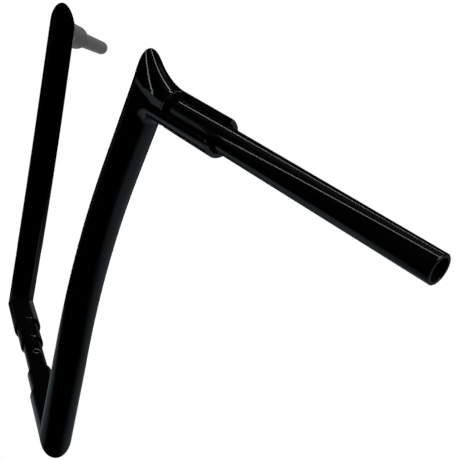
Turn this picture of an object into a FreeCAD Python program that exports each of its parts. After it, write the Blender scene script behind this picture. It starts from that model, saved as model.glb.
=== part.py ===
"""Pointed-top motorcycle handlebar, welded from round steel tube.

Frame: X to the rider's right, Y forward, Z up, in millimetres. The origin is the middle of the
centre tube, where the riser clamp holds the bar. The right half is built and then mirrored.
"""
import FreeCAD, Part
import math
import os
from FreeCAD import Vector

# Tube sections. Each inner tube slips into the bore of the next one out.
MAIN_OD = 38.1
MAIN_WALL = 3.05
STEP_WALL = 3.05
CENTRE_WALL = 3.05
GRIP_OD = 25.4
GRIP_WALL = 3.05
SLEEVE_WALL = 4.4
SLIP_GAP = 0.125

# Crossbar, along X
CENTRE_BARE_LENGTH = 80.0
STEP_BARE_LENGTH = 53.0
STEP_INSERT = 25.0
CENTRE_INSERT = 25.0
STEP_EDGE_BEVEL = 1.0
KNEE_SPAN = 366.0
WIRE_HOLE_DIAMETER = 9.5

# Uprights: a straight foot, one long bend outwards, and a straight top
LOWER_FLARE = 0.8
LOWER_RISE = 124.0
BEND_RADIUS = 635.0
UPPER_FLARE = 20.5
UPPER_LEAN_BACK = 2.6
UPPER_RISE = 94.0

# Pointed top: an elbow that turns into the grip, with a scoop that runs up to the point
HORN_DROP = 36.0
HORN_REACH = 41.5
SCOOP_RADIUS = 70.0
UNDER_ARCH_RADIUS = 10.0
BLEND_STEP = 0.15
GRIP_INSERT = 16.0
SLEEVE_RECESS = 5.0

# Grip and the cut-away sleeve round its root
GRIP_SWEEP = 23.65
GRIP_DROOP = 7.0
GRIP_REACH = 337.0
GRIP_END_CHAMFER = 0.6
SLEEVE_LENGTH = 65.0
CUTAWAY_TOP_ANGLE = -8.0
CUTAWAY_FRONT_ANGLE = 101.0
SLEEVE_CORNER_ROUND = 3.0
SLOT_START = 132.0
SLOT_LENGTH = 18.0
SLOT_WIDTH = 9.0
SLOT_ANGLE = 195.0

# Radii that follow from the sections
MAIN_R = MAIN_OD / 2
MAIN_BORE_R = MAIN_R - MAIN_WALL
STEP_R = MAIN_BORE_R - SLIP_GAP
STEP_BORE_R = STEP_R - STEP_WALL
CENTRE_R = STEP_BORE_R - SLIP_GAP
GRIP_R = GRIP_OD / 2
SOCKET_R = GRIP_R - SLIP_GAP
SPIGOT_R = SOCKET_R - SLIP_GAP
SLEEVE_BORE_R = MAIN_R - SLEEVE_WALL

X_AXIS = Vector(1, 0, 0)
Z_AXIS = Vector(0, 0, 1)


def unit(vector):
    """The vector at length one."""
    return Vector(vector).normalize()


def square_to(vector, axis):
    """The direction of the part of a vector that is square to an axis."""
    return unit(vector - axis * vector.dot(axis))


def tangent_of(degrees):
    return math.tan(math.radians(degrees))


def tube(base, direction, length, outer_radius, bore_radius):
    """A straight round tube."""
    outer = Part.makeCylinder(outer_radius, length, base, direction)
    return outer.cut(Part.makeCylinder(bore_radius, length, base, direction))


def swept_rod(edges, start, direction, radius):
    """A round rod along a path of edges."""
    circle = Part.Wire(Part.makeCircle(radius, start, direction))
    return Part.Wire(edges).makePipeShell([circle], True, False)


def beyond(point, normal, reach):
    """A wide round block that fills the side of a plane that its normal points to."""
    return Part.makeCylinder(reach, 2 * reach, point, normal)


def first_crossing(point, direction, circle_centre, radius):
    """Where a line, followed along its direction, first meets a circle in the same plane."""
    foot = point + direction * (circle_centre - point).dot(direction)
    half_chord = math.sqrt(radius**2 - (circle_centre - foot).Length**2)
    return foot - direction * half_chord


def edges_where(shape, test):
    return [edge for edge in shape.Edges if test(edge)]


# Axes of the right-hand half
KNEE = Vector(KNEE_SPAN / 2, 0, 0)
FOOT_DIRECTION = unit(Vector(tangent_of(LOWER_FLARE), 0, 1))
TOP_DIRECTION = unit(Vector(tangent_of(UPPER_FLARE), -tangent_of(UPPER_LEAN_BACK), 1))
BEND_SIDE = square_to(TOP_DIRECTION, FOOT_DIRECTION)
BEND_ANGLE = FOOT_DIRECTION.getAngle(TOP_DIRECTION)
BEND_START = KNEE + FOOT_DIRECTION * LOWER_RISE


def on_bend(angle):
    """A point of the upright's bend, at an angle from the bend's start."""
    along = FOOT_DIRECTION * math.sin(angle)
    across = BEND_SIDE * (1 - math.cos(angle))
    return BEND_START + (along + across) * BEND_RADIUS


BEND_END = on_bend(BEND_ANGLE)
JUNCTION = BEND_END + TOP_DIRECTION * UPPER_RISE
HORN_BASE = JUNCTION - TOP_DIRECTION * HORN_DROP

GRIP_DIRECTION = unit(Vector(1, -tangent_of(GRIP_SWEEP), 0))
GRIP_DIRECTION = unit(GRIP_DIRECTION - Z_AXIS * tangent_of(GRIP_DROOP))
GRIP_UP = square_to(Z_AXIS, GRIP_DIRECTION)
GRIP_FRONT = GRIP_UP.cross(GRIP_DIRECTION)
HORN_UP = square_to(TOP_DIRECTION, GRIP_DIRECTION)
HORN_SIDE = GRIP_DIRECTION.cross(HORN_UP)
HORN_FACE = JUNCTION + GRIP_DIRECTION * HORN_REACH


def on_grip(distance):
    """A point of the grip's axis, at a distance from the upright's axis."""
    return JUNCTION + GRIP_DIRECTION * distance


def round_grip(degrees):
    """The direction square to the grip at an angle from its top towards the front."""
    angle = math.radians(degrees)
    return GRIP_UP * math.cos(angle) + GRIP_FRONT * math.sin(angle)


def centre_tube():
    """The clamped tube in the middle, with the wires' way in on top."""
    half = CENTRE_BARE_LENGTH / 2 + CENTRE_INSERT
    body = tube(X_AXIS * -half, X_AXIS, 2 * half, CENTRE_R, CENTRE_R - CENTRE_WALL)
    hole = Part.makeCylinder(WIRE_HOLE_DIAMETER / 2, 2 * CENTRE_R, Vector(), Z_AXIS)
    return body.cut(hole)


def stepped_end(body, x, radius):
    """Bevels the outer edge of a crossbar tube at its end nearer the middle."""
    def is_rim(edge):
        box = edge.BoundBox
        return box.XLength < SLIP_GAP and abs(box.XMin - x) < SLIP_GAP and abs(box.ZMax - radius) < SLIP_GAP
    return body.makeChamfer(STEP_EDGE_BEVEL, edges_where(body, is_rim))


def step_sleeve():
    """The middle diameter, slipped over the centre tube and into the lower tube."""
    start = CENTRE_BARE_LENGTH / 2
    body = tube(X_AXIS * start, X_AXIS, STEP_BARE_LENGTH + STEP_INSERT, STEP_R, STEP_BORE_R)
    return stepped_end(body, start, STEP_R)


def lower_tube():
    """The full-size crossbar tube, mitred at the knee."""
    start = CENTRE_BARE_LENGTH / 2 + STEP_BARE_LENGTH
    body = tube(X_AXIS * start, X_AXIS, KNEE.x + MAIN_OD - start, MAIN_R, MAIN_BORE_R)
    body = body.cut(beyond(KNEE, X_AXIS + FOOT_DIRECTION, 3 * MAIN_OD))
    return stepped_end(body, start, MAIN_R)


SCOOP_BEND = SCOOP_RADIUS + MAIN_R
SCOOP_CENTRE = HORN_FACE + HORN_UP * SCOOP_BEND
ELBOW_R = MAIN_R - BLEND_STEP


def under_arch():
    """The inner side of a short elbow, which rounds the corner under the grip."""
    turn = TOP_DIRECTION.getAngle(GRIP_DIRECTION)
    bend = UNDER_ARCH_RADIUS + MAIN_R
    setback = bend * math.tan(turn / 2)
    start = JUNCTION - TOP_DIRECTION * setback
    middle = JUNCTION + unit(GRIP_DIRECTION - TOP_DIRECTION) * (bend / math.cos(turn / 2) - bend)
    arc = Part.Arc(start, middle, on_grip(setback)).toShape()
    return swept_rod([arc], start, TOP_DIRECTION, ELBOW_R)


def on_scoop(angle):
    """A point of the scoop elbow's middle line, at an angle from the grip's seam."""
    return HORN_FACE + (HORN_UP * (1 - math.cos(angle)) - GRIP_DIRECTION * math.sin(angle)) * SCOOP_BEND


def scoop_cap():
    """The saddle over the grip's root, an elbow's inner side, running out at the upright's back wall."""
    front = square_to(GRIP_DIRECTION, TOP_DIRECTION)
    tip = first_crossing(JUNCTION - front * MAIN_R, TOP_DIRECTION, SCOOP_CENTRE, SCOOP_RADIUS)
    last = 1.3 * (HORN_FACE - SCOOP_CENTRE).getAngle(tip - SCOOP_CENTRE)
    first = math.sqrt(BLEND_STEP / (2 * SCOOP_BEND))
    arc = Part.Arc(on_scoop(first), on_scoop((first + last) / 2), on_scoop(last)).toShape()
    heading = GRIP_DIRECTION * math.cos(first) - HORN_UP * math.sin(first)
    elbow = swept_rod([arc], on_scoop(first), heading, ELBOW_R)

    margin = HORN_SIDE * MAIN_R / 2
    ahead = front * 2 * (HORN_REACH + MAIN_OD)
    right = HORN_BASE + HORN_SIDE * MAIN_R
    left = HORN_BASE - HORN_SIDE * MAIN_R
    corners = [left, left - margin, left - margin + ahead, right + margin + ahead, right + margin, right]
    outline = [Part.LineSegment(a, b).toShape() for a, b in zip(corners, corners[1:])]
    outline.append(Part.Arc(right, HORN_BASE - front * MAIN_R, left).toShape())
    envelope = Part.Face(Part.Wire(outline)).extrude(TOP_DIRECTION * (HORN_DROP + SCOOP_BEND + MAIN_R))
    return elbow.common(envelope)


def horn_column():
    """The upright carried on to the middle of the scoop's elbow."""
    crossing = first_crossing(JUNCTION, TOP_DIRECTION, SCOOP_CENTRE, SCOOP_BEND)
    column = Part.makeCylinder(MAIN_R, HORN_DROP + MAIN_OD, HORN_BASE, TOP_DIRECTION)
    return column.cut(beyond(crossing, SCOOP_CENTRE - crossing, 3 * MAIN_OD))


def pointed_top():
    """The pointed top's outer form: the column, the grip's root, the arch below and the scoop above."""
    root = Part.makeCylinder(MAIN_R, HORN_REACH, JUNCTION, GRIP_DIRECTION)
    return horn_column().fuse(root).fuse(under_arch()).fuse(scoop_cap())


def upright_rod(radius, top):
    """A rod along the upright's axis, from below the knee to a point of its straight top."""
    start = KNEE - FOOT_DIRECTION * MAIN_OD
    edges = [
        Part.LineSegment(start, BEND_START).toShape(),
        Part.Arc(BEND_START, on_bend(BEND_ANGLE / 2), BEND_END).toShape(),
        Part.LineSegment(BEND_END, top).toShape(),
    ]
    return swept_rod(edges, start, FOOT_DIRECTION, radius)


def upright():
    """The bent tube from the knee's mitre to its pointed top, with the socket for the grip's tube."""
    body = upright_rod(MAIN_R, HORN_BASE).fuse(pointed_top()).removeSplitter()
    wire_way = upright_rod(MAIN_BORE_R, JUNCTION + TOP_DIRECTION * SOCKET_R)
    socket = Part.makeCylinder(SOCKET_R, HORN_REACH, JUNCTION, GRIP_DIRECTION)
    recess = Part.makeCylinder(SLEEVE_BORE_R, SLEEVE_RECESS, HORN_FACE, GRIP_DIRECTION * -1)
    below = beyond(KNEE, (X_AXIS + FOOT_DIRECTION) * -1, 3 * MAIN_OD)
    return body.cut([wire_way, socket, recess, below])


def grip_sleeve():
    """The sleeve round the grip's root, open at the front and top for the lever's clamp."""
    body = tube(HORN_FACE, GRIP_DIRECTION, SLEEVE_LENGTH, MAIN_R, SLEEVE_BORE_R)
    reach = MAIN_OD
    top = HORN_FACE + round_grip(CUTAWAY_TOP_ANGLE) * reach
    middle = HORN_FACE + round_grip((CUTAWAY_TOP_ANGLE + CUTAWAY_FRONT_ANGLE) / 2) * reach
    front = HORN_FACE + round_grip(CUTAWAY_FRONT_ANGLE) * reach
    sector = Part.Wire([
        Part.LineSegment(HORN_FACE, top).toShape(),
        Part.Arc(top, middle, front).toShape(),
        Part.LineSegment(front, HORN_FACE).toShape(),
    ])
    body = body.cut(Part.Face(sector).extrude(GRIP_DIRECTION * SLEEVE_LENGTH))
    end = on_grip(HORN_REACH + SLEEVE_LENGTH)

    def is_mouth_corner(edge):
        offset = edge.CenterOfMass - end
        straight = isinstance(edge.Curve, (Part.Line, Part.LineSegment))
        return straight and abs(offset.dot(GRIP_DIRECTION)) < SLIP_GAP and edge.Length < MAIN_R
    return body.makeFillet(SLEEVE_CORNER_ROUND, edges_where(body, is_mouth_corner))


def grip_tube():
    """The grip's tube: a spigot at its root, an open end, and the wires' slot on the underside."""
    root = HORN_REACH - GRIP_INSERT
    shoulder = HORN_REACH - SLEEVE_RECESS
    body = Part.makeCylinder(GRIP_R, GRIP_REACH - shoulder, on_grip(shoulder), GRIP_DIRECTION)
    body = body.fuse(Part.makeCylinder(SPIGOT_R, shoulder - root, on_grip(root), GRIP_DIRECTION))
    body = body.cut(Part.makeCylinder(GRIP_R - GRIP_WALL, GRIP_REACH, on_grip(root), GRIP_DIRECTION))
    end = on_grip(GRIP_REACH)

    def is_rim(edge):
        return (edge.CenterOfMass - end).Length < SLIP_GAP and edge.Length > math.pi * (GRIP_OD - GRIP_WALL)
    body = body.makeChamfer(GRIP_END_CHAMFER, edges_where(body, is_rim))

    down = round_grip(SLOT_ANGLE)
    across = GRIP_DIRECTION.cross(down) * SLOT_WIDTH / 2
    first = on_grip(SLOT_START + SLOT_WIDTH / 2)
    last = on_grip(SLOT_START + SLOT_LENGTH - SLOT_WIDTH / 2)
    half = GRIP_DIRECTION * SLOT_WIDTH / 2
    outline = Part.Wire([
        Part.LineSegment(first + across, last + across).toShape(),
        Part.Arc(last + across, last + half, last - across).toShape(),
        Part.LineSegment(last - across, first - across).toShape(),
        Part.Arc(first - across, first - half, first + across).toShape(),
    ])
    return body.cut(Part.Face(outline).extrude(down * GRIP_OD))


SIDE_PIECES = {
    "step_sleeve": step_sleeve,
    "lower_tube": lower_tube,
    "upright": upright,
    "grip_sleeve": grip_sleeve,
    "grip_tube": grip_tube,
}

os.makedirs("parts", exist_ok=True)
centre_tube().exportStep("parts/centre_tube.step")
for name, make in SIDE_PIECES.items():
    piece = make()
    piece.exportStep(f"parts/{name}_right.step")
    piece.mirror(Vector(), X_AXIS).exportStep(f"parts/{name}_left.step")
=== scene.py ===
import bpy
import math
import numpy as np
from mathutils import Matrix, Vector


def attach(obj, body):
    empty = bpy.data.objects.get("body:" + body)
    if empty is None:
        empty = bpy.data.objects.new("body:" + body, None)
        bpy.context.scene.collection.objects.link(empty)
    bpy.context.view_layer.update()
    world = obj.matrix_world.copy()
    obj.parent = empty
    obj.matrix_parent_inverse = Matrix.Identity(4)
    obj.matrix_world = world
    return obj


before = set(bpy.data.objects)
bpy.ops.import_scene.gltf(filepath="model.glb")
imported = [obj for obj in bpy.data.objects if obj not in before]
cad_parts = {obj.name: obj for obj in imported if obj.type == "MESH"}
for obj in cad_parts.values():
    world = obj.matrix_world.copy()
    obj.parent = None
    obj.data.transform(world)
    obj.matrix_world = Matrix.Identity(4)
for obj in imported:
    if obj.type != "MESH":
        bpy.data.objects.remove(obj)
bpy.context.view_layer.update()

MM = 0.001
CAMERA_PLACE = Vector((-957.767, 202.577, 524.537)) * MM
CAMERA_RIGHT = Vector((-0.353401, -0.908483, 0.223083))
CAMERA_DOWN = Vector((-0.343613, -0.095737, -0.934219))
CAMERA_AHEAD = Vector((0.870079, -0.406808, -0.278333))
FOCAL_PIXELS = 760.0
IMAGE_PIXELS = 460
SENSOR = 36.0

TUBE_RADIUS = 12.7 * MM
HOLE_RADIUS = 4.75 * MM
RIM_RADIUS = 0.7 * MM
RIM_OVERHANG = 0.6
RIM_STEPS = 64
COLLAR_RADIUS = 16.8 * MM
COLLAR_HALF = 1.9 * MM
COLLAR_STEPS = 128
PROFILE_STEPS = 24
HORN_FACE = (0.295768, -0.025238, 0.421912)
GRIP_DIRECTION = (0.909185, -0.398158, -0.121869)
GRIP_UP = (0.111634, -0.048888, 0.992546)

TUBE_EDGE_ROUND = 0.6 * MM
WELD_EDGE_ROUND = 1.0 * MM
EDGE_SAMPLES = 6
COAT_INDEX = 1.5
COAT_DARK = (0.0015, 0.0015, 0.0018, 1.0)
COAT_LIGHT = (0.005, 0.005, 0.0058, 1.0)
COAT_ROUGHNESS = (0.04, 0.075)
PEEL_SCALE = 900.0
PEEL_DEPTH = 0.02
PEEL_HEIGHT = 0.2 * MM
CLOUD_SCALE = 14.0
BARE_METAL = (0.6, 0.62, 0.64, 1.0)
BARE_ROUGHNESS = (0.3, 0.5)
WEAR_SCALE = 400.0
NOISE_RANGE = (0.3, 0.7)

FLOOR_HEIGHT = -0.30
FLOOR_HALF = 1.25
POOL_MIDDLE = (0.25, 0.3)
POOL_HALF = (0.6, 0.45)
POOL_INNER = 0.55
POOL_OUTER = 1.1
POOL_BRIGHTNESS = 0.23

WHITE = (1.0, 1.0, 1.0, 1.0)
ROOM_TINT = (0.86, 1.0, 1.1, 1.0)
ROOM_BASE = 0.002
ROOM_PATCHES = [
    # azimuth, height, half width and half height in degrees, softness, brightness
    (-78.0, -60.0, 56.0, 56.0, 0.4, 0.19),
    (-28.0, -4.0, 12.0, 14.0, 0.8, 0.06),
    (70.0, 12.0, 10.0, 16.0, 0.8, 0.05),
    (-108.0, -19.0, 9.0, 7.0, 0.6, 0.25),
    (35.0, -14.0, 22.0, 11.0, 0.8, 0.04),
    (-10.0, 62.0, 45.0, 22.0, 0.9, 0.06),
    (-48.0, 42.0, 12.0, 8.0, 0.7, 0.16),
]

CROSSBAR = (
    "centre_tube",
    "step_sleeve_left",
    "step_sleeve_right",
    "lower_tube_left",
    "lower_tube_right",
)
NEAR_GRIP = ("grip_tube_left", "grip_sleeve_left")
FAR_GRIP = ("grip_tube_right", "grip_sleeve_right")
NEAR_SIDE = NEAR_GRIP + (
    "step_sleeve_left",
    "lower_tube_left",
    "upright_left",
    "collar_left",
    "wire_hole_rim",
)
BAR_MIDDLE = (0.0, 0.0, 0.2)
NEAR_HORN = (-0.28, 0.0, 0.43)
FAR_HORN = (0.284, -0.021, 0.4235)
FAR_KNEE = (0.125, -0.01, 0.02)
HOLE_TOP = (0.0, 0.0, 0.0127)
NEAR_COLLAR = (-0.2958, -0.0252, 0.4219)

STRIPS = [
    # name, one end, other end, width, radiance
    ("rear_tube", (-0.15, 0.03, 0.62), (-0.43, -0.343, 0.62), 0.009, 6.0),
    ("front_tube", (-0.49, -0.186, 0.80), (-0.06, 0.95, 0.80), 0.013, 6.0),
]
PANELS = [
    # name, point aimed at, direction from it, distance, width, height, radiance, tint, pieces lit
    ("upright_panel", NEAR_HORN, (0.308, 0.947, 0.087), 0.6, 0.15, 0.25, 0.33, ROOM_TINT,
     ("upright_left", "collar_left")),
    ("grip_panel", NEAR_HORN, (0.308, 0.947, 0.087), 0.6, 0.10, 0.18, 0.20, ROOM_TINT,
     ("grip_tube_left",)),
    ("hole_panel", HOLE_TOP, (0.0, 0.1, 1.0), 0.49, 0.20, 0.20, 3.0, WHITE, ("wire_hole_rim",)),
    ("ring_panel", NEAR_COLLAR, (-0.365, 0.93, 0.04), 0.5, 0.35, 0.35, 1.0, WHITE, ("collar_left",)),
    ("far_panel", FAR_HORN, (0.876, -0.464, -0.133), 0.5, 0.24, 0.28, 0.215, WHITE,
     FAR_GRIP + ("upright_right",)),
    ("knee_panel", FAR_KNEE, (0.898, -0.438, 0.052), 0.5, 0.14, 0.16, 0.11, ROOM_TINT,
     ("lower_tube_right",)),
    ("top_panel", BAR_MIDDLE, (0.0, 0.001, 1.0), 2.0, 1.4, 1.0, 3.0, WHITE, CROSSBAR + FAR_GRIP),
    ("outer_panel", BAR_MIDDLE, (-0.68, -0.28, 0.68), 2.0, 1.2, 1.2, 3.0, WHITE, CROSSBAR + NEAR_GRIP),
    ("back_panel", BAR_MIDDLE, (0.94, -0.24, -0.28), 2.0, 1.2, 1.2, 3.0, WHITE, ("upright_left",)),
    ("low_panel", BAR_MIDDLE, (0.79, -0.18, -0.58), 2.0, 0.9, 1.0, 3.0, WHITE, ("upright_right",)),
]

scene = bpy.context.scene
scene.view_settings.view_transform = "Standard"


def put(node, **values):
    """Sets the inputs of a node by name, with spaces written as underscores."""
    for name, value in values.items():
        node.inputs[name.replace("_", " ")].default_value = value


def new_group(name, inputs, outputs):
    """An empty shader node group with the given sockets, and its two end nodes."""
    group = bpy.data.node_groups.new(name, "ShaderNodeTree")
    for label, kind, value in inputs:
        item = group.interface.new_socket(label, in_out="INPUT", socket_type=kind)
        item.default_value = value
    for label, kind in outputs:
        group.interface.new_socket(label, in_out="OUTPUT", socket_type=kind)
    return group, group.nodes.new("NodeGroupInput"), group.nodes.new("NodeGroupOutput")


def add_math(tree, operation, *values):
    """A math node whose inputs are numbers or the outputs of other nodes."""
    node = tree.nodes.new("ShaderNodeMath")
    node.operation = operation
    for slot, value in zip(node.inputs, values):
        if isinstance(value, (int, float)):
            slot.default_value = value
        else:
            tree.links.new(value, slot)
    return node.outputs["Value"]


def soft_step(tree, value, low, high, bottom=0.0, top=1.0):
    """A smooth ramp of a value between two limits."""
    node = tree.nodes.new("ShaderNodeMapRange")
    node.interpolation_type = "SMOOTHSTEP"
    put(node, To_Min=bottom, To_Max=top)
    tree.links.new(value, node.inputs["Value"])
    for name, limit in (("From Min", low), ("From Max", high)):
        if isinstance(limit, (int, float)):
            node.inputs[name].default_value = limit
        else:
            tree.links.new(limit, node.inputs[name])
    return node.outputs["Result"]


def coat_group():
    """Orange peel, slow changes of gloss and colour and soft edges of a sprayed coat.

    The peel is fine noise and the gloss and colour follow coarse noise, both in object coordinates.
    Edges are rounded in the shading over the given radius before the peel is added.
    """
    inputs = [
        ("Edge Round", "NodeSocketFloat", TUBE_EDGE_ROUND),
        ("Peel Size", "NodeSocketFloat", PEEL_SCALE),
        ("Peel Depth", "NodeSocketFloat", PEEL_DEPTH),
        ("Gloss Low", "NodeSocketFloat", COAT_ROUGHNESS[0]),
        ("Gloss High", "NodeSocketFloat", COAT_ROUGHNESS[1]),
        ("Dark", "NodeSocketColor", COAT_DARK),
        ("Light", "NodeSocketColor", COAT_LIGHT),
    ]
    outputs = [
        ("Colour", "NodeSocketColor"),
        ("Roughness", "NodeSocketFloat"),
        ("Normal", "NodeSocketVector"),
    ]
    group, start, end = new_group("sprayed_coat", inputs, outputs)
    place = group.nodes.new("ShaderNodeTexCoord").outputs["Object"]

    peel = group.nodes.new("ShaderNodeTexNoise")
    put(peel, Detail=1.0, Roughness=0.4)
    group.links.new(place, peel.inputs["Vector"])
    group.links.new(start.outputs["Peel Size"], peel.inputs["Scale"])
    edge = group.nodes.new("ShaderNodeBevel")
    edge.samples = EDGE_SAMPLES
    group.links.new(start.outputs["Edge Round"], edge.inputs["Radius"])
    bump = group.nodes.new("ShaderNodeBump")
    put(bump, Distance=PEEL_HEIGHT)
    group.links.new(edge.outputs["Normal"], bump.inputs["Normal"])
    group.links.new(start.outputs["Peel Depth"], bump.inputs["Strength"])
    group.links.new(peel.outputs["Fac"], bump.inputs["Height"])

    cloud = group.nodes.new("ShaderNodeTexNoise")
    put(cloud, Scale=CLOUD_SCALE, Detail=3.0, Roughness=0.55)
    group.links.new(place, cloud.inputs["Vector"])
    gloss = group.nodes.new("ShaderNodeMapRange")
    put(gloss, From_Min=NOISE_RANGE[0], From_Max=NOISE_RANGE[1])
    group.links.new(cloud.outputs["Fac"], gloss.inputs["Value"])
    group.links.new(start.outputs["Gloss Low"], gloss.inputs["To Min"])
    group.links.new(start.outputs["Gloss High"], gloss.inputs["To Max"])
    tint = group.nodes.new("ShaderNodeMix")
    tint.data_type = "RGBA"
    group.links.new(cloud.outputs["Fac"], tint.inputs["Factor"])
    group.links.new(start.outputs["Dark"], tint.inputs["A"])
    group.links.new(start.outputs["Light"], tint.inputs["B"])

    group.links.new(tint.outputs["Result"], end.inputs["Colour"])
    group.links.new(gloss.outputs["Result"], end.inputs["Roughness"])
    group.links.new(bump.outputs["Normal"], end.inputs["Normal"])
    return group


def make_coat(group, name, edge_round):
    """Gloss black coat over steel tube, with edges softened over a given radius."""
    material = bpy.data.materials.new(name)
    material.use_nodes = True
    tree = material.node_tree
    shader = tree.nodes["Principled BSDF"]
    put(shader, IOR=COAT_INDEX)
    coat = tree.nodes.new("ShaderNodeGroup")
    coat.node_tree = group
    put(coat, Edge_Round=edge_round)
    tree.links.new(coat.outputs["Colour"], shader.inputs["Base Color"])
    tree.links.new(coat.outputs["Roughness"], shader.inputs["Roughness"])
    tree.links.new(coat.outputs["Normal"], shader.inputs["Normal"])
    return material


def make_bare_edge():
    """Worn bare metal where the coat ends, its dullness varied by noise in object coordinates."""
    material = bpy.data.materials.new("bare_edge")
    material.use_nodes = True
    tree = material.node_tree
    shader = tree.nodes["Principled BSDF"]
    put(shader, Base_Color=BARE_METAL, Metallic=1.0)
    place = tree.nodes.new("ShaderNodeTexCoord").outputs["Object"]
    wear = tree.nodes.new("ShaderNodeTexNoise")
    put(wear, Scale=WEAR_SCALE, Detail=2.0)
    tree.links.new(place, wear.inputs["Vector"])
    dullness = soft_step(tree, wear.outputs["Fac"], *NOISE_RANGE, *BARE_ROUGHNESS)
    tree.links.new(dullness, shader.inputs["Roughness"])
    return material


def patch_group():
    """A soft oval patch of brightness round a direction: 1 inside, 0 outside, smooth between.

    With d the direction, c the patch's middle and a, b its half angles along two axes u, v square to c,
    the value is a smooth step of 1 - sqrt((d.u / sin a)^2 + (d.v / sin b)^2), on c's own side only.
    """
    inputs = [
        ("Direction", "NodeSocketVector", (0.0, 0.0, 0.0)),
        ("Middle", "NodeSocketVector", (1.0, 0.0, 0.0)),
        ("Across", "NodeSocketVector", (0.0, 1.0, 0.0)),
        ("Upward", "NodeSocketVector", (0.0, 0.0, 1.0)),
        ("Softness", "NodeSocketFloat", 0.4),
        ("Brightness", "NodeSocketFloat", 0.2),
    ]
    group, start, end = new_group("soft_patch", inputs, [("Value", "NodeSocketFloat")])

    def along(name):
        node = group.nodes.new("ShaderNodeVectorMath")
        node.operation = "DOT_PRODUCT"
        group.links.new(start.outputs["Direction"], node.inputs[0])
        group.links.new(start.outputs[name], node.inputs[1])
        return node.outputs["Value"]

    across, upward = along("Across"), along("Upward")
    across = add_math(group, "MULTIPLY", across, across)
    upward = add_math(group, "MULTIPLY", upward, upward)
    reach = add_math(group, "SQRT", add_math(group, "ADD", across, upward))
    inward = add_math(group, "SUBTRACT", 1.0, reach)
    inside = soft_step(group, inward, 0.0, start.outputs["Softness"])
    ahead = add_math(group, "GREATER_THAN", along("Middle"), 0.0)
    value = add_math(group, "MULTIPLY", inside, ahead)
    value = add_math(group, "MULTIPLY", value, start.outputs["Brightness"])
    group.links.new(value, end.inputs["Value"])
    return group


def add_patch(tree, group, azimuth, height, half_wide, half_tall, softness, brightness, direction):
    """One soft patch of the room, by the azimuth and height of its middle and its half angles in degrees."""
    a, e = math.radians(azimuth), math.radians(height)
    middle = Vector((math.cos(a) * math.cos(e), math.sin(a) * math.cos(e), math.sin(e)))
    across = Vector((-math.sin(a), math.cos(a), 0.0))
    upward = middle.cross(across)
    node = tree.nodes.new("ShaderNodeGroup")
    node.node_tree = group
    put(
        node,
        Middle=middle,
        Across=across / math.sin(math.radians(half_wide)),
        Upward=upward / math.sin(math.radians(half_tall)),
        Softness=softness,
        Brightness=brightness,
    )
    tree.links.new(direction, node.inputs["Direction"])
    return node.outputs["Value"]


def make_world(group):
    """White to the camera; a dark room with a few soft patches to everything else."""
    world = bpy.data.worlds.new("studio")
    scene.world = world
    world.use_nodes = True
    tree = world.node_tree
    background = tree.nodes["Background"]
    direction = tree.nodes.new("ShaderNodeTexCoord").outputs["Generated"]
    total = ROOM_BASE
    for patch in ROOM_PATCHES:
        total = add_math(tree, "ADD", add_patch(tree, group, *patch, direction), total)
    path = tree.nodes.new("ShaderNodeLightPath")
    tint = tree.nodes.new("ShaderNodeMix")
    tint.data_type = "RGBA"
    put(tint, A=ROOM_TINT, B=WHITE)
    tree.links.new(path.outputs["Is Camera Ray"], tint.inputs["Factor"])
    tree.links.new(tint.outputs["Result"], background.inputs["Color"])
    seen = add_math(tree, "MAXIMUM", total, path.outputs["Is Camera Ray"])
    tree.links.new(seen, background.inputs["Strength"])


def make_floor_material():
    """Pale floor: plain white to the camera, with a soft oval pool of light in reflections.

    The pool falls off smoothly with sqrt(x^2 + y^2), x and y counted from its middle in its half sizes.
    """
    material = bpy.data.materials.new("pale_floor")
    material.use_nodes = True
    tree = material.node_tree
    tree.nodes.clear()
    place = tree.nodes.new("ShaderNodeTexCoord").outputs["Object"]
    apart = tree.nodes.new("ShaderNodeSeparateXYZ")
    tree.links.new(place, apart.inputs["Vector"])
    squares = []
    for axis, middle, half in zip("XY", POOL_MIDDLE, POOL_HALF):
        offset = add_math(tree, "SUBTRACT", apart.outputs[axis], middle)
        offset = add_math(tree, "DIVIDE", offset, half)
        squares.append(add_math(tree, "MULTIPLY", offset, offset))
    reach = add_math(tree, "SQRT", add_math(tree, "ADD", *squares))
    pool = soft_step(tree, reach, POOL_INNER, POOL_OUTER, POOL_BRIGHTNESS, 0.0)
    glow = tree.nodes.new("ShaderNodeEmission")
    put(glow, Color=ROOM_TINT)
    tree.links.new(pool, glow.inputs["Strength"])
    clear = tree.nodes.new("ShaderNodeBsdfTransparent")
    both = tree.nodes.new("ShaderNodeAddShader")
    tree.links.new(glow.outputs["Emission"], both.inputs[0])
    tree.links.new(clear.outputs["BSDF"], both.inputs[1])
    white = tree.nodes.new("ShaderNodeEmission")
    put(white, Color=WHITE, Strength=1.0)
    path = tree.nodes.new("ShaderNodeLightPath")
    seen = tree.nodes.new("ShaderNodeMixShader")
    tree.links.new(path.outputs["Is Camera Ray"], seen.inputs["Fac"])
    tree.links.new(both.outputs["Shader"], seen.inputs[1])
    tree.links.new(white.outputs["Emission"], seen.inputs[2])
    out = tree.nodes.new("ShaderNodeOutputMaterial")
    tree.links.new(seen.outputs["Shader"], out.inputs["Surface"])
    return material


def add_floor():
    """A square pale floor below the part."""
    corners = [(-1, -1), (1, -1), (1, 1), (-1, 1)]
    mesh = bpy.data.meshes.new("floor")
    points = [(FLOOR_HALF * x, FLOOR_HALF * y, FLOOR_HEIGHT) for x, y in corners]
    mesh.from_pydata(points, [], [(0, 1, 2, 3)])
    mesh.materials.append(make_floor_material())
    floor = bpy.data.objects.new("floor", mesh)
    scene.collection.objects.link(floor)


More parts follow.
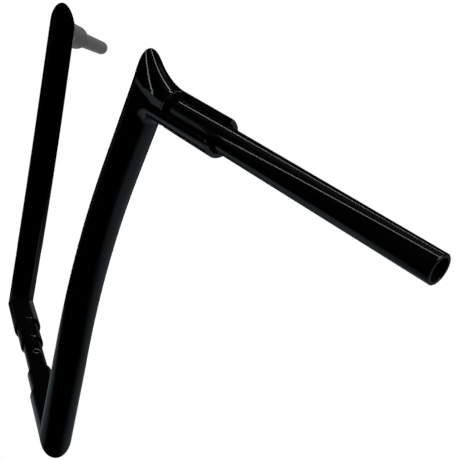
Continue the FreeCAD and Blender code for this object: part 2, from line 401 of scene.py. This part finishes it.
def add_camera():
    """The camera at the photo's place, with the lens that the photo's tube edges give."""
    data = bpy.data.cameras.new("camera")
    data.sensor_width = SENSOR
    data.lens = FOCAL_PIXELS / IMAGE_PIXELS * SENSOR
    data.clip_start = 0.01
    data.clip_end = 50.0
    camera = bpy.data.objects.new("camera", data)
    turn = Matrix((CAMERA_RIGHT, -CAMERA_DOWN, -CAMERA_AHEAD)).transposed().to_4x4()
    camera.matrix_world = Matrix.Translation(CAMERA_PLACE) @ turn
    scene.collection.objects.link(camera)
    scene.camera = camera


def add_lamp(name, middle, along, facing, length, width, radiance, tint, lit):
    """A flat lamp of even radiance that lights the given pieces."""
    data = bpy.data.lights.new(name, "AREA")
    data.shape = "RECTANGLE"
    data.size = length
    data.size_y = width
    data.energy = radiance * math.pi * length * width
    data.color = tint[:3]
    lamp = bpy.data.objects.new(name, data)
    x = along.normalized()
    z = -(facing - x * facing.dot(x)).normalized()
    turn = Matrix((x, z.cross(x), z)).transposed().to_4x4()
    lamp.matrix_world = Matrix.Translation(middle) @ turn
    lamp.visible_camera = False
    scene.collection.objects.link(lamp)
    receivers = bpy.data.collections.new(name + "_lights")
    for piece in lit:
        receivers.objects.link(piece)
    lamp.light_linking.receiver_collection = receivers


def add_strip(name, first, last, width, radiance, lit):
    """A long narrow lamp between two points, facing down."""
    first, last = Vector(first), Vector(last)
    down = Vector((0.0, 0.0, -1.0))
    length = (last - first).length
    add_lamp(name, (first + last) / 2, last - first, down, length, width, radiance, WHITE, lit)


def add_panel(name, aim, towards, distance, wide, tall, radiance, tint, lit):
    """A panel lamp at a distance from the point that it is aimed at, with its width level."""
    towards = Vector(towards).normalized()
    level = towards.cross(Vector((0.0, 0.0, 1.0)))
    place = Vector(aim) + distance * towards
    add_lamp(name, place, level, -towards, wide, tall, radiance, tint, lit)


def add_sheet(name, points, material):
    """A smooth surface through a grid of points that closes on itself in both directions."""
    rows, columns = points.shape[:2]
    row = np.arange(rows)[:, None] * columns
    ahead = np.roll(row, -1, axis=0)
    column = np.arange(columns)[None, :]
    beside = np.roll(column, -1, axis=1)
    faces = np.stack([row + column, ahead + column, ahead + beside, row + beside], axis=-1)
    mesh = bpy.data.meshes.new(name)
    mesh.from_pydata(points.reshape(-1, 3).tolist(), [], faces.reshape(-1, 4).tolist())
    mesh.shade_smooth()
    mesh.materials.append(material)
    piece = bpy.data.objects.new(name, mesh)
    scene.collection.objects.link(piece)
    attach(piece, "root")
    return piece


def add_hole_rim(material):
    """Rounded rim of the wire hole, a small round profile carried along the hole's edge.

    With t the angle round the hole and s the angle round the profile, a point lies at the radius
    q = HOLE_RADIUS + RIM_RADIUS (RIM_OVERHANG + cos s) from the hole's axis, at x = q cos t, y = q sin t
    and at z = sqrt(TUBE_RADIUS^2 - y^2) + RIM_RADIUS sin s.
    """
    t = np.linspace(0.0, 2.0 * np.pi, RIM_STEPS, endpoint=False)[:, None]
    s = np.linspace(0.0, 2.0 * np.pi, PROFILE_STEPS, endpoint=False)[None, :]
    q = HOLE_RADIUS + RIM_RADIUS * (RIM_OVERHANG + np.cos(s))
    x, y = q * np.cos(t), q * np.sin(t)
    z = np.sqrt(TUBE_RADIUS**2 - y**2) + RIM_RADIUS * np.sin(s)
    return add_sheet("wire_hole_rim", np.stack([x, y, z], axis=-1), material)


def add_collar(name, side, material):
    """Rounded collar round the grip on the horn's face, a round profile carried round a circle.

    With c the face's middle, g the grip's direction, u and v square to it, t the angle round the grip and
    s the angle round the profile, a point is c + (COLLAR_RADIUS + COLLAR_HALF cos s) (u cos t + v sin t)
    + COLLAR_HALF sin s g, mirrored in x for the left side.
    """
    t = np.linspace(0.0, 2.0 * np.pi, COLLAR_STEPS, endpoint=False)[:, None, None]
    s = np.linspace(0.0, 2.0 * np.pi, PROFILE_STEPS, endpoint=False)[None, :, None]
    along = np.array(GRIP_DIRECTION)
    u = np.array(GRIP_UP)
    v = np.cross(along, u)
    outward = u * np.cos(t) + v * np.sin(t)
    points = np.array(HORN_FACE) + (COLLAR_RADIUS + COLLAR_HALF * np.cos(s)) * outward
    points = points + COLLAR_HALF * np.sin(s) * along
    return add_sheet(name, points * np.array([side, 1.0, 1.0]), material)


sprayed = coat_group()
tube_coat = make_coat(sprayed, "gloss_black_tube", TUBE_EDGE_ROUND)
weld_coat = make_coat(sprayed, "gloss_black_weld", WELD_EDGE_ROUND)
pieces = dict(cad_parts)
for name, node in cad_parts.items():
    node.data.materials.clear()
    node.data.materials.append(weld_coat if name.startswith("upright") else tube_coat)
pieces["wire_hole_rim"] = add_hole_rim(make_bare_edge())
for name, side in (("collar_left", -1.0), ("collar_right", 1.0)):
    pieces[name] = add_collar(name, side, tube_coat)

add_camera()
make_world(patch_group())
add_floor()
for shape in STRIPS:
    add_strip(*shape, [pieces[name] for name in NEAR_SIDE])
for *shape, lit in PANELS:
    add_panel(*shape, [pieces[name] for name in lit])
